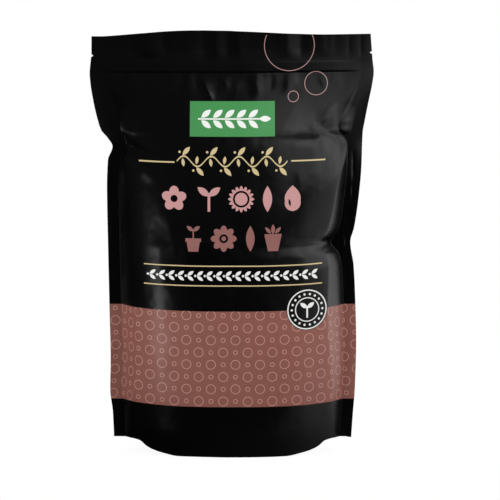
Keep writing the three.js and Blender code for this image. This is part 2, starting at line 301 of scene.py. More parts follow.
# Share of the corner lift, by how far out from the middle the film is
lift_share = curve([(0.5, 0), (0.63, 0.155), (0.72, 0.31), (0.8, 0.56), (0.865, 0.93), (0.93, 1)])


def height_at(across, level):
    """Height of a row of the film, with its lifted lower corners and the dips of the top edge."""
    lifted = CORNER_LIFT * lift_share(np.abs(across)) * np.clip(1 - level / LIFT_FADE, 0, 1)
    dip = np.where(
        across < -0.3,
        LEFT_TOP_DROP * smoothstep(0.3, 1.2, -across),
        RIGHT_TOP_DROP * smoothstep(-0.2, 0.8, across),
    )
    return level + lifted - dip * np.clip((level - ZIP_TOP) / HEADER_HEIGHT, 0, 1)


def plane_bend(x, z):
    """How far the seals' plane bends back: the lean and sweep above the neck, and the header's bends."""
    lean = HEADER_LEAN * smoothstep(NECK - 20, STAND_HEIGHT + 30, z)
    swept = np.clip((x / FILM_WIDTH - SWEEP_FROM) / (0.5 - SWEEP_FROM), 0, 1) ** SWEEP_POWER
    sweep = RIGHT_SWEEP * swept * smoothstep(NECK - 60, ZIP_TOP, z)
    bends = sum(back * np.exp(-(((x - at * FILM_WIDTH) / width) ** 2)) for at, width, back in HEADER_FOLDS)
    fine = np.zeros_like(x)
    for at, width, back, down in HEADER_CREASES:
        beside = np.abs(x - at - HEADER_CREASE_LEAN * (z - ZIP_TOP)) / width
        reach = smoothstep(STAND_HEIGHT - down - 6, STAND_HEIGHT - down + 8, z)
        fine += back * reach * np.exp(-(beside**1.5))
    return lean + sweep + smoothstep(header(0), header(0.4), z) * bends + fine


def zip_swell(z, fullness):
    """The zip strip's low flat band, with a pressed line along both its edges."""
    band = smoothstep(ZIP_BOTTOM - 0.2, ZIP_BOTTOM + 1.8, z) * smoothstep(ZIP_TOP + 3.5, ZIP_TOP - 3.5, z)
    lower, upper = (np.exp(-(((z - edge) / ZIP_LINE_WIDTH) ** 2)) for edge in (ZIP_BOTTOM, ZIP_TOP))
    return fullness * (SWELL_SHARE * ZIP_SWELL * band - ZIP_LINE_DEPTH * (lower + 0.3 * upper))


def folds_at(folds, x, z, half, middle):
    """How far the broad folds push the film out."""
    total = np.zeros_like(x)
    for across, up, runs, length, width, out in folds:
        dx, dz = x - middle - across * half, z - up
        angle = math.radians(runs)
        along = (dx * math.cos(angle) + dz * math.sin(angle)) / length
        beside = (dz * math.cos(angle) - dx * math.sin(angle)) / width
        total += out * np.exp(-(along**2) - beside**2)
    return total


def creases_at(creases, x, z):
    """Crisp ridges with a rounded top, which fade out towards both ends of their line."""
    total = np.zeros_like(x)
    for x0, z0, x1, z1, width, out, step in creases:
        run = math.hypot(x1 - x0, z1 - z0)
        ux, uz = (x1 - x0) / run, (z1 - z0) / run
        along = ((x - x0) * ux + (z - z0) * uz) / run
        beside = (z - z0) * ux - (x - x0) * uz
        beside = beside + 0.06 * width * np.sin(along * 7)
        ends = smoothstep(-0.12, 0.3, along) * smoothstep(1.12, 0.6, along)
        top = 0.22 * width
        ridge = np.exp(-(np.sqrt(beside**2 + top**2) - top) / (0.6 * width))
        turn = np.tanh(beside / width) * np.exp(-((beside / (4 * width)) ** 2))
        total += ends * (out * ridge + step * turn)
    return total


def soft_noise(seed, u, v):
    """Smooth noise from -1 to 1 with one swell per unit of u and v."""
    size = 64
    knots = np.random.default_rng(seed).uniform(-1, 1, (size, size))
    iu, iv = np.floor(u).astype(int), np.floor(v).astype(int)
    fu, fv = u - iu, v - iv
    fu, fv = fu**3 * (fu * (fu * 6 - 15) + 10), fv**3 * (fv * (fv * 6 - 15) + 10)
    a = knots[iu % size, iv % size] * (1 - fu) + knots[(iu + 1) % size, iv % size] * fu
    b = knots[iu % size, (iv + 1) % size] * (1 - fu) + knots[(iu + 1) % size, (iv + 1) % size] * fu
    return a * (1 - fv) + b * fv


def film_wave(seal_share, x, z):
    """How far both films wave together out of their plane, in the side seals. Each seal has its own wave."""
    own = np.where(x < 0, 3.7, 9.1)
    wave = 1.5 * soft_noise(5, z / 41 + own, own) + 0.5 * soft_noise(6, z / 17 + own, own)
    wave = seal_share**2 * wave * smoothstep(header(0.3), shoulder(0.5), z)
    for at, top, bottom, width, back in SEAL_CREASES:
        reach = smoothstep(bottom, bottom + SEAL_CREASE_ENDS, z) * smoothstep(top, top - SEAL_CREASE_ENDS, z)
        wave = wave + smoothstep(0, 0.3, seal_share) * back * reach * np.exp(-(((x - at) / width) ** 2))
    return wave


RIDGE_SOFTNESS = 0.004


def crumple(seed, u, v):
    """Creased film: rounded facets that meet at soft ridges, from 0 to 1."""
    return 1 - np.sqrt(soft_noise(seed, u, v) ** 2 + RIDGE_SOFTNESS)


def contents(side, x, z, profile):
    """Unevenness of the loose fill behind the film, and the film's slack under the zip."""
    seed = 20 if side < 0 else 40
    filled = smoothstep(0.1, 0.5, profile) * smoothstep(shoulder(0.75), shoulder(0), z)
    swells = 0.8 * soft_noise(seed, x / 34 + 9, z / 76 + 9)
    swells += 0.3 * soft_noise(seed + 1, x / 15 + 9, z / 24 + 9)
    grains = 0.07 * soft_noise(seed + 2, x / 5.5 + 40, z / 6.5 + 9)
    slack = smoothstep(shoulder(0.6), shoulder(0.96), z) * smoothstep(ZIP_BOTTOM + 3, ZIP_BOTTOM - 3, z)
    puckers = 0.3 * soft_noise(seed + 3, x / 9 + 40, z / 30 + 9)
    puckers += 0.12 * soft_noise(seed + 4, x / 4.5 + 60, z / 16)
    loose = smoothstep(body(0.82), shoulder(0.3), z) * smoothstep(ZIP_BOTTOM, ZIP_BOTTOM - 12, z)
    facets = 0.6 * crumple(seed + 5, x / 27 + 0.3 * z / 27 + 20, z / 38 + 9)
    facets += 0.2 * crumple(seed + 6, x / 13 - 0.4 * z / 13 + 50, z / 17 + 9)
    taut = 0.35 * crumple(seed + 7, x / 30 + 20, z / 64 + 0.2 * x / 64 + 9)
    inside = np.clip(3 * profile, 0, 1)
    return filled * (swells + grains + taut) + inside * (slack * puckers + loose * facets)


def header_ripples(x, z):
    """Faint upright ripples through both films of the header."""
    return 0.3 * crumple(7, x / 13 + 30, z / 60 + 4) * smoothstep(ZIP_TOP - 1, header(0.4), z)


def notch(x_edge, level, sign, drop):
    """The side edge, drawn in at a V-shaped tear notch."""
    bite = np.clip(1 - np.abs(level - (STAND_HEIGHT - drop)) / NOTCH_HEIGHT, 0, 1)
    return x_edge - sign * NOTCH_DEPTH * bite


def panel_places():
    """Each column as (across, seal, wing). Across runs over the swell from -1 to 1, seal from 0 at the seal's inner
    edge to 1 at the film's edge, and wing from 0 at the edge of the swell to 1 at the seal."""
    turn = np.linspace(-1, 1, SWELL_COLUMNS + 1)
    swell = 0.62 * np.sin(turn * math.pi / 2) + 0.38 * turn
    seal = np.linspace(1, 0, SEAL_COLUMNS + 1)[:-1]
    wing = np.linspace(1, 0, WING_COLUMNS + 1)[:-1]
    side = np.ones(len(seal) + len(wing))
    seals = np.concatenate([seal, np.zeros(len(wing))])
    wings = np.concatenate([np.ones(len(seal)), wing])
    none = np.zeros(len(swell))
    across = np.concatenate([-side, swell, side])
    return across, np.concatenate([seals, none, seals[::-1]]), np.concatenate([wings, none, wings[::-1]])


def panel_levels():
    """Levels of the panel's rows, with extra ones at the notches and at the zip's pressed lines."""
    rows = round(STAND_HEIGHT / ROW_HEIGHT)
    tips = [STAND_HEIGHT - drop for drop in (NOTCH_DROP_LEFT, NOTCH_DROP_RIGHT)]
    notches = [tip + d for tip in tips for d in (-NOTCH_HEIGHT, 0, NOTCH_HEIGHT)]
    zip_edges = [ZIP_BOTTOM + d for d in (-0.4, 0, 0.25, 0.7)] + [ZIP_TOP + d for d in (-0.7, -0.25, 0, 0.4)]
    levels = np.unique(np.concatenate([np.linspace(0, STAND_HEIGHT, rows + 1), notches, zip_edges]))
    return levels[np.concatenate([[True], np.diff(levels) > 0.2])]


def panel_points(side, across, seal, wing, level):
    """Points of one panel in millimetres: side -1 is the front, 1 the back."""
    z = height_at(across, level)
    left = left_inset(z) - FILM_WIDTH / 2
    right = FILM_WIDTH / 2 - right_inset(z)
    flat_left, flat_right = left_wing(z), right_wing(z)
    swell_left = left + SEAL_WIDTH + flat_left
    swell_right = right - SEAL_WIDTH - flat_right
    middle, half = (swell_left + swell_right) / 2, (swell_right - swell_left) / 2
    x = middle + half * across + np.where(across < 0, -flat_left, flat_right) * wing
    outer_left = notch(left, level, -1, NOTCH_DROP_LEFT)
    outer_right = notch(right, level, 1, NOTCH_DROP_RIGHT)
    x = x + np.where(across < 0, outer_left - left - SEAL_WIDTH, outer_right - right + SEAL_WIDTH) * seal

    profile = np.maximum(0, 1 - np.abs(across) ** SECTION_POWER) ** side_taper(z)
    depth = (FRONT_DEPTH if side < 0 else BACK_DEPTH) * depth_share(z) * profile
    folds, creases = (FRONT_FOLDS, FRONT_CREASES) if side < 0 else (BACK_FOLDS, BACK_CREASES)
    fold_share = np.clip(4 * profile, 0, 1)
    slack = smoothstep(3, 9, np.where(across < 0, flat_left, flat_right)) * smoothstep(1, 0.2, wing)
    crease_share = np.maximum(fold_share, slack)
    fill = contents(side, x, z, profile)
    moved = folds_at(folds, x, z, half, middle) * fold_share + creases_at(creases, x, z) * crease_share
    wall = WALL_SLOPE * half * (1 - np.abs(across)) + slack * 4
    out = np.minimum(np.maximum(0, depth + moved + fill), wall) + zip_swell(z, np.clip(3 * profile, 0, 1))
    out = np.maximum(out, LEAST_OUT)
    bend = plane_bend(x, z) + film_wave(seal, x, z) + header_ripples(x, z)
    return x, side * (SEAL_THICKNESS / 2 + out) + bend, z, bend


def film_distance(x, y):
    """Distance along the film from its middle line, so the print keeps its size round the steep sides."""
    steps = np.hypot(np.diff(x, axis=1), np.diff(y, axis=1))
    flat = np.diff(x, axis=1)
    steep = smoothstep(0.5, 1.6, steps / np.maximum(flat, 1e-6) - 0.6)
    run = np.concatenate([np.zeros((len(x), 1)), np.cumsum(flat + (steps - flat) * steep, axis=1)], axis=1)
    middle = np.array([np.interp(0, x[r], run[r]) for r in range(len(x))])
    return run - middle[:, None]


def placed(name, data):
    """A new object in the scene."""
    thing = bpy.data.objects.new(name, data)
    bpy.context.scene.collection.objects.link(thing)
    return thing


def make_piece(name, points, faces, uv, sharp=()):
    """One smooth film piece with the layout of its print, and sharp along the listed rim points."""
    mesh = bpy.data.meshes.new(name)
    mesh.from_pydata((np.asarray(points) * MM).tolist(), [], faces)
    mesh.polygons.foreach_set("use_smooth", [True] * len(mesh.polygons))
    layer = mesh.uv_layers.new(name="print")
    corners = np.empty(len(mesh.loops), dtype=int)
    mesh.loops.foreach_get("vertex_index", corners)
    layer.data.foreach_set("uv", np.asarray(uv)[corners].ravel())
    if len(sharp):
        ends = np.empty(2 * len(mesh.edges), dtype=int)
        mesh.edges.foreach_get("vertices", ends)
        on_rim = np.isin(ends, sharp).reshape(-1, 2).all(axis=1)
        marks = mesh.attributes.new("sharp_edge", "BOOLEAN", "EDGE")
        marks.data.foreach_set("value", on_rim)
    mesh.update()
    return placed(name, mesh)


def grid_faces(rows, columns, flip):
    """Quads over a grid of points. Flip turns their outer side round."""
    index = np.arange(rows * columns).reshape(rows, columns)
    a, b, c, d = index[:-1, :-1], index[:-1, 1:], index[1:, 1:], index[1:, :-1]
    corners = [a, b, c, d] if not flip else [a, d, c, b]
    return np.stack(corners, axis=-1).reshape(-1, 4).tolist()


def make_panel(name, side):
    """One film panel, with its cut edge along both sides and the top turned in to the middle of the seal."""
    across, seal, wing = panel_places()
    across, levels = np.meshgrid(across, panel_levels())
    seal, wing = np.broadcast_to(seal, across.shape), np.broadcast_to(wing, across.shape)
    x, y, z, bend = panel_points(side, across, seal, wing, levels)
    rows, columns = x.shape
    points = np.stack([x, y, z], axis=-1).reshape(-1, 3)
    u = film_distance(x, y) / FILM_WIDTH + 0.5
    uv = np.stack([u, z / STAND_HEIGHT], axis=-1).reshape(-1, 2)
    faces = grid_faces(rows, columns, side > 0)

    index = np.arange(rows * columns).reshape(rows, columns)
    rim = np.concatenate([index[:, 0], index[-1, 1:], index[:-1, -1][::-1]])
    edge = points[rim].copy()
    edge[:, 1] = bend.reshape(-1)[rim]
    first = len(points)
    points = np.concatenate([points, edge])
    uv = np.concatenate([uv, uv[rim]])
    for i in range(len(rim) - 1):
        quad = [int(rim[i]), int(rim[i + 1]), first + i + 1, first + i]
        faces.append(quad if side < 0 else quad[::-1])
    return make_piece(name, points, faces, uv, sharp=rim)


def base_profile(half, lift, across):
    """Half of a gusset column, from the rim in, as (distance from the middle, height), and the crease's height."""
    room = np.clip(half / (2 * GROOVE_WIDTH), 0, 1)
    tuck = TUCK_HEIGHT * smoothstep(TUCK_FROM, 1, abs(across)) * np.clip(half / 4, 0, 1)
    floor = lift * smoothstep(0, 0.5, abs(across)) + tuck
    skirt_top = max(lift + SKIRT_HEIGHT * room, floor)
    crease = BASE_CREASE_WIDTH / 2 * room
    lining = SEAL_THICKNESS + SKIRT_DRAFT
    insets = [(SEAL_THICKNESS * room, lift), (lining * room, skirt_top)]
    for step in range(1, GROOVE_STEPS + 1):
        turn = math.pi / 2 * step / GROOVE_STEPS
        inset = (lining + (GROOVE_WIDTH - lining) * (1 - math.cos(turn))) * room
        insets.append((inset, skirt_top + (floor - skirt_top) * math.sin(turn)))
    from_rim = [(half - inset, height) for inset, height in insets]
    inner = from_rim[-1][0]
    flat = [(inner + (crease - inner) * s, floor) for s in np.linspace(0, 1, FLAT_STEPS + 1)[1:]]
    return from_rim + flat, floor + BASE_CREASE_DEPTH * room


def make_base(name):
    """The gusset, from the front panel's rim to the back panel's: skirt lining, groove and flat with its crease."""
    across, seal, wing = panel_places()
    level = np.zeros_like(across)
    fx, fy, fz, _ = panel_points(-1, across, seal, wing, level)
    _, by, bz, _ = panel_points(1, across, seal, wing, level)
    count = 2 * (1 + 2 + GROOVE_STEPS + FLAT_STEPS) + 1  # the rim, the lining's two ends, the steps, and the middle
    columns = []
    for i in range(len(across)):
        half, middle = (by[i] - fy[i]) / 2, (by[i] + fy[i]) / 2
        if half < LEAST_POCKET:
            ys, zs = np.linspace(fy[i], by[i], count), np.full(count, fz[i])
        else:
            side, top = base_profile(half, fz[i], across[i])
            away, heights = (list(values) for values in zip(*side))
            ys = [fy[i]] + [middle - a for a in away] + [middle] + [middle + a for a in away[::-1]] + [by[i]]
            zs = [fz[i]] + heights + [top] + heights[::-1] + [bz[i]]
        columns.append(np.stack([np.full(count, fx[i]), ys, zs], axis=-1))
    grid = np.stack(columns)
    slack = smoothstep(0.5, 0.8, np.abs(across))[:, None] * np.sin(np.linspace(0, math.pi, grid.shape[1]))[None, :]
    grid[:, :, 2] += 0.8 * slack * soft_noise(61, grid[:, :, 0] / 9 + 30, grid[:, :, 1] / 14 + 30)
    points = grid.reshape(-1, 3)
    faces = grid_faces(grid.shape[0], grid.shape[1], True)
    uv = np.stack([points[:, 0] / FILM_WIDTH + 0.5, points[:, 1] / FILM_WIDTH + 0.5], axis=-1)
    return make_piece(name, points, faces, uv)


class Nodes:
    """Shorthand for building one node tree."""

    def __init__(self, tree):
        self.tree = tree

    def add(self, kind, inputs=(), **settings):
        """A new node with its settings, and its inputs by name or number."""
        node = self.tree.nodes.new(kind)
        for key, value in settings.items():
            setattr(node, key, value)
        for key, value in dict(inputs).items():
            self.join(value, node.inputs[key])
        return node

    def join(self, value, socket):
        """A link from another socket, or a plain value."""
        if isinstance(value, bpy.types.NodeSocket):
            self.tree.links.new(value, socket)
        else:
            socket.default_value = value

    def math(self, operation, *values, clamp=False):
        """The result of one sum. The commonest four have names of their own."""
        return self.add("ShaderNodeMath", enumerate(values), operation=operation, use_clamp=clamp).outputs[0]

    plus = partialmethod(math, "ADD")
    minus = partialmethod(math, "SUBTRACT")
    times = partialmethod(math, "MULTIPLY")
    larger = partialmethod(math, "MAXIMUM")

    def ramp(self, value, start, end, low=0.0, high=1.0, **settings):
        """Low where the value is at start, high where it is at end, and level past both."""
        ends = {"Value": value, "From Min": start, "From Max": end, "To Min": low, "To Max": high}
        return self.add("ShaderNodeMapRange", ends, **settings).outputs[0]

    def reach(self, across, up):
        """Distance from a middle, from its two parts."""
        squares = [self.times(part, part) for part in (across, up)]
        return self.math("SQRT", self.plus(*squares))

    def group(self, tree, **inputs):
        """A placed group. Underscores in the inputs' names stand for spaces."""
        node = self.add("ShaderNodeGroup", node_tree=tree)
        for key, value in inputs.items():
            self.join(value, node.inputs[key.replace("_", " ")])
        return node

    def mix(self, share, low, high):
        """A colour between two, by a share."""
        return self.add("ShaderNodeMix", {0: share, 6: low, 7: high}, data_type="RGBA").outputs[2]


def bare(owner):
    """A material or world with an empty node tree."""
    owner.use_nodes = True
    owner.node_tree.nodes.clear()
    return owner


def new_group(name, inputs, outputs):
    """An empty shader node group: its tree, its nodes, what it is given and what it puts out."""
    tree = bpy.data.node_groups.new(name, "ShaderNodeTree")
    for label in inputs:
        kind = "NodeSocketVector" if label == "Vector" else "NodeSocketFloat"
        tree.interface.new_socket(label, in_out="INPUT", socket_type=kind)
    for label in outputs:
        tree.interface.new_socket(label, in_out="OUTPUT", socket_type="NodeSocketFloat")
    nodes = Nodes(tree)
    return tree, nodes, nodes.add("NodeGroupInput").outputs, nodes.add("NodeGroupOutput").inputs


INK_EDGE = 0.16  # millimetres over which an ink shape's edge fades


def inked(nodes, distance):
    """1 inside a shape and 0 outside, from the signed distance to its edge."""
    return nodes.minus(0.5, nodes.math("DIVIDE", distance, 2 * INK_EDGE), clamp=True)


def new_shape(name, labels):
    """A group for one ink shape, with the place across and up from the shape's middle."""
    tree, n, given, out = new_group(name, ["X", "Z", "At X", "At Z", *labels], ["Ink"])
    dx = n.minus(given["X"], given["At X"])
    dz = n.minus(given["Z"], given["At Z"])
    return tree, n, given, out["Ink"], dx, dz


def ring_group():
    """A ring of a radius and half line width. A radius of 0 makes a disc."""
    tree, n, given, ink, dx, dz = new_shape("print_ring", ["Radius", "Half Line"])
    gap = n.math("ABSOLUTE", n.minus(n.reach(dx, dz), given["Radius"]))
    n.join(inked(n, n.minus(gap, given["Half Line"])), ink)
    return tree


def bar_group():
    """An upright rectangle. Lean widens it towards its top, as a flower pot."""
    tree, n, given, ink, dx, dz = new_shape("print_bar", ["Half Width", "Half Height", "Lean"])
    half_width = n.plus(given["Half Width"], n.times(dz, given["Lean"]))
    past_side = n.minus(n.math("ABSOLUTE", dx), half_width)
    past_end = n.minus(n.math("ABSOLUTE", dz), given["Half Height"])
    n.join(inked(n, n.larger(past_side, past_end)), ink)
    return tree


def leaf_group():
    """A leaf with a point at both ends, turned by an angle in degrees."""
    tree, n, given, ink, dx, dz = new_shape("print_leaf", ["Length", "Width", "Turn"])
    turn = n.math("RADIANS", given["Turn"])
    cos, sin = n.math("COSINE", turn), n.math("SINE", turn)
    along = n.plus(n.times(dx, cos), n.times(dz, sin))
    beside = n.math("ABSOLUTE", n.minus(n.times(dz, cos), n.times(dx, sin)))
    share = n.math("DIVIDE", n.times(along, 2), given["Length"])
    width = n.times(n.minus(1, n.times(share, share)), given["Width"])
    n.join(inked(n, n.minus(beside, n.times(width, 0.5))), ink)
    return tree


def flower_group():
    """Round petals about a centre."""
    tree, n, given, ink, dx, dz = new_shape("print_flower", ["Radius", "Petals", "Depth"])
    angle = n.times(n.math("ARCTAN2", dx, dz), n.times(given["Petals"], 0.5))
    wave = n.math("ABSOLUTE", n.math("COSINE", angle))
    dent = n.times(n.minus(1, wave), given["Depth"])
    limit = n.times(given["Radius"], n.minus(1, dent))
    n.join(inked(n, n.minus(n.reach(dx, dz), limit)), ink)
    return tree


def repeat_group():
    """Place within a repeat of a pitch, counted from its middle, and 1 or -1 for even and odd repeats."""
    tree, n, given, out = new_group("print_repeat", ["Place", "Start", "Pitch"], ["Local", "Turn"])
    steps = n.math("DIVIDE", n.minus(given["Place"], given["Start"]), given["Pitch"])
    count = n.math("FLOOR", steps)
    local = n.minus(n.minus(steps, count), 0.5)
    n.join(n.times(local, given["Pitch"]), out["Local"])
    odd = n.math("FLOORED_MODULO", count, 2)
    n.join(n.minus(1, n.times(odd, 2)), out["Turn"])
    return tree


def finish_group():
    """Uneven gloss, faint rub marks and the fine skin of laminated film."""
    tree, n, given, out = new_group("film_finish", ["Vector", "Gloss", "Rub"], ["Roughness", "Rubbed", "Height"])
    broad = n.add("ShaderNodeTexNoise", {"Vector": given["Vector"], "Scale": 14.0, "Detail": 4.0}).outputs["Fac"]
    stretch = n.add("ShaderNodeMapping", {"Vector": given["Vector"], "Scale": (260.0, 40.0, 90.0)}).outputs[0]
    streaks = n.add("ShaderNodeTexNoise", {"Vector": stretch, "Scale": 1.0, "Detail": 6.0}).outputs["Fac"]
    rubs = n.times(n.minus(streaks, 0.62, clamp=True), given["Rub"], clamp=True)
    skin = n.add("ShaderNodeTexNoise", {"Vector": given["Vector"], "Scale": 900.0, "Detail": 2.0}).outputs["Fac"]
    uneven = n.times(n.minus(broad, 0.5), 0.16)
    n.join(n.plus(n.plus(given["Gloss"], uneven), n.times(rubs, 0.2)), out["Roughness"])
    n.join(rubs, out["Rubbed"])
    n.join(skin, out["Height"])
    return tree


def srgb(red, green, blue):
    """A colour for a socket, from its screen values of 0 to 255."""
    shares = [v / 255 for v in (red, green, blue)]
    return tuple(v / 12.92 if v <= 0.04045 else ((v + 0.055) / 1.055) ** 2.4 for v in shares) + (1.0,)


BLACK_FILM = srgb(1.5, 1.5, 2)
RUBBED_FILM = srgb(120, 118, 116)
ROSE = srgb(146, 92, 81)
ROSE_SHADE = srgb(112, 66, 58)
ROSE_LINE = srgb(200, 150, 138)
GREEN = srgb(70, 150, 84)
WHITE_INK = srgb(244, 246, 242)
GOLD = srgb(214, 194, 146)
PINK = srgb(205, 152, 150)
DUSTY_PINK = srgb(150, 101, 96)
THIN_PINK = srgb(186, 146, 146)

# How strongly the finishes show, and the depth of the film's skin in metres
FILM_GLOSS = 0.25
FILM_RUB = 1.1
RUB_SHOWS = 0.035
ROSE_MOTTLE = 0.22
RING_SHOWS = 0.9
INK_DULLNESS = 0.05
FILM_SPECULAR = 0.4
SKIN_STRENGTH = 0.05
SKIN_DEPTH = 0.0003

# Places of the printed fields on the front, in millimetres from the film's middle line and from the ground
BAND = (54.6, 156.0)
RING_PITCH = (12.88, 13.0)
RING_START = (-99.6, 151.7)
RING_RADII = (2.1, 4.8)
RING_HALF_LINE = 0.36
GREEN_PANEL = (0.2, 354.6, 44.6, 17.6)  # middle, half width and half height
SPRIG_PITCH = 12.4
GOLD_LEVEL = 311.9
GOLD_RULES = ((-79.3, 310.7, 18.8), (79.9, GOLD_LEVEL, 18.0))  # (middle, level, half length)
GOLD_HALF_LINE = 0.75
VINE_HALF = 58.0
VINE_PITCH = 14.5
VINE_SWING = 5.2
SIGN_HEIGHT = 27.0
PINK_LEVEL = 273.2
PINK_PLACES = (-60.8, -24.3, 9.5, 37.0, 63.4)  # flower, sprout, sunflower, leaf, drop
DUSTY_LEVEL = 232.1
DUSTY_PLACES = (-40.7, -8.8, 19.0, 42.8)  # potted sprout, flower, leaf, planted bowl
BOWL_LEAVES = ((0.0, 9.4, 10.5, 4.2, 90.0), (-5.2, 8.4, 9.0, 3.6, 132.0), (5.2, 8.4, 9.0, 3.6, 48.0))
DOUBLE_RULES = (203.4, 182.8)
DOUBLE_RULE_MIDDLE = 0.9
DOUBLE_RULE_HALF = 93.8
DOUBLE_HALF_LINE = 0.6
LEAF_ROW_LEVEL = 193.1
LEAF_ROW_HALF = 90.0
LEAF_PITCH = 10.0
BADGE = (78.7, 156.1)
BADGE_RADIUS = 21.7
BADGE_RINGS = ((20.3, 0.62), (12.3, 0.5))  # (radius, half line)
BADGE_BEADS = 18
BEAD_CIRCLE = 16.2
LOOSE_RINGS = ((60.3, 429, 26.4), (88.5, 389.4, 12), (64.3, 376.4, 5.5))  # (middle, level, radius)
LOOSE_HALF_LINE = 0.34
TOP_SEAL = 5.0  # sealed strip below the top edge


class Print(Nodes):
    """Ink shapes drawn on the film, in millimetres."""

    def __init__(self, tree, groups):
        super().__init__(tree)
        self.groups = groups
        uv = self.add("ShaderNodeUVMap", uv_map="print").outputs[0]
        split = self.add("ShaderNodeSeparateXYZ", {"Vector": uv})
        middle = self.minus(split.outputs[0], 0.5)
        self.x = self.times(middle, float(FILM_WIDTH))
        self.z = self.times(split.outputs[1], float(STAND_HEIGHT))

    def shape(self, kind, x=None, z=None, **values):
        """Ink of one shape, at its place on the film or in a repeat of it."""
        x = self.x if x is None else x
        z = self.z if z is None else z
        return self.group(self.groups[kind], X=x, Z=z, **values).outputs["Ink"]

    def ring(self, at_x, at_z, radius, half_line, x=None, z=None):
        return self.shape("ring", x, z, At_X=at_x, At_Z=at_z, Radius=radius, Half_Line=half_line)

    def disc(self, at_x, at_z, radius, x=None, z=None):
        return self.ring(at_x, at_z, 0.0, radius, x, z)

    def bar(self, at_x, at_z, half_width, half_height, lean=0.0, x=None, z=None):
        return self.shape("bar", x, z, At_X=at_x, At_Z=at_z, Half_Width=half_width, Half_Height=half_height,
                          Lean=lean)

    def leaf(self, at_x, at_z, length, width, turn, x=None, z=None):
        return self.shape("leaf", x, z, At_X=at_x, At_Z=at_z, Length=length, Width=width, Turn=turn)

    def flower(self, at_x, at_z, radius, petals, depth):
        return self.shape("flower", At_X=at_x, At_Z=at_z, Radius=radius, Petals=petals, Depth=depth)

    def repeat(self, place, start, pitch):
        """The place within a repeat, and 1 or -1 in turn."""
        node = self.group(self.groups["repeat"], Place=place, Start=start, Pitch=pitch)
        return node.outputs["Local"], node.outputs["Turn"]

    def union(self, *inks):
        """Ink where any of the shapes has it."""
        total = inks[0]
        for ink in inks[1:]:
            total = self.larger(total, ink)
        return total

    def without(self, ink, *others):
        """Ink where none of the other shapes has it."""
        for other in others:
            ink = self.times(ink, self.minus(1.0, other))
        return ink

    def within(self, ink, *others):
        """Ink only where all of the other shapes have it."""
        for other in others:
            ink = self.times(ink, other)
        return ink

    def sprout(self, x, z, height, spread):
        """A stem with two leaves, standing on z."""
        leaf = spread * 1.05
        stem = self.bar(x, z + height * 0.36, height * 0.05, height * 0.36)
        left = self.leaf(x - spread * 0.4, z + height * 0.76, leaf, leaf * 0.46, 143.0)
        right = self.leaf(x + spread * 0.4, z + height * 0.76, leaf, leaf * 0.46, 37.0)
        return self.union(stem, left, right)

    def pot(self, x, z, height, half_width):
        """A flower pot with a rim, standing on z."""
        tub = self.bar(x, z + height * 0.38, half_width * 0.74, height * 0.38, 0.16)
        rim = self.bar(x, z + height * 0.86, half_width, height * 0.13)
        return self.union(tub, rim)


def ring_field(p):
    """Large and small rings that take turns along and up the film."""
    local_x, turn_x = p.repeat(p.x, RING_START[0] - RING_PITCH[0] / 2, RING_PITCH[0])
    local_z, turn_z = p.repeat(p.z, RING_START[1] - RING_PITCH[1] / 2, RING_PITCH[1])
    large = p.plus(p.times(p.times(turn_x, turn_z), 0.5), 0.5)
    small, big = RING_RADII
    radius = p.plus(p.times(large, big - small), small)
    return p.ring(0.0, 0.0, radius, RING_HALF_LINE, local_x, local_z)


def sprig(p):
    """A row of leaf pairs along a level stem, on the green panel."""
    x, z, _, _ = GREEN_PANEL
    half = 2.5 * SPRIG_PITCH
    local_x, _ = p.repeat(p.x, x - half - 3.2, SPRIG_PITCH)
    away = p.math("ABSOLUTE", p.minus(p.z, z))
    pair = p.leaf(0.4, 5.2, 12.6, 5.6, 37.0, local_x, away)
    row = p.within(pair, p.bar(x - 3.2, z, half, 14.0))
    stem = p.bar(x - 1.5, z, half + 3.5, 0.75)
    tip = p.leaf(x + half + 3.4, z, 12.5, 5.8, 0.0)
    return p.union(row, stem, tip)


def vine(p):
    """A waving stem with leaves and berries on both sides."""
    local_x, turn = p.repeat(p.x, -4 * VINE_PITCH, VINE_PITCH)
    away = p.times(p.minus(p.z, GOLD_LEVEL), turn)
    angle = p.times(local_x, math.pi / VINE_PITCH)
    path = p.times(p.math("COSINE", angle), VINE_SWING)
    gap = p.math("ABSOLUTE", p.minus(away, path))
    stem = inked(p, p.minus(gap, 0.85))
    leaf = p.leaf(2.6, 10.4, 11.5, 4.6, 48.0, local_x, away)
    inner = p.leaf(-0.6, -1.2, 8.5, 3.4, 98.0, local_x, away)
    berry = p.disc(-4.4, 9.4, 1.25, local_x, away)
    all_over = p.union(stem, leaf, inner, berry)
    return p.within(all_over, p.bar(0.0, GOLD_LEVEL, VINE_HALF, 17.0))


def pink_row(p):
    """The upper row of plant signs."""
    z = PINK_LEVEL
    flower_at, sprout_at, sun_at, leaf_at, drop_at = PINK_PLACES
    flower = p.without(p.flower(flower_at, z, 13.2, 5.0, 0.34), p.disc(flower_at, z, 3.7))
    sprout = p.sprout(sprout_at, z - 13.0, SIGN_HEIGHT, 14.5)
    core = p.disc(sun_at, z, 6.6)
    halo = p.without(p.flower(sun_at, z, 13.6, 16.0, 0.27), p.disc(sun_at, z, 8.7))
    leaf = p.leaf(leaf_at, z, SIGN_HEIGHT, 9.6, 90.0)
    drop = p.union(p.disc(drop_at, z - 4.6, 8.4), p.leaf(drop_at, z, SIGN_HEIGHT, 16.8, 90.0))
    glint = p.leaf(drop_at - 3.2, z - 4.2, 8.2, 2.4, 100.0)
    return p.union(flower, sprout, core, halo, leaf, p.without(drop, glint))


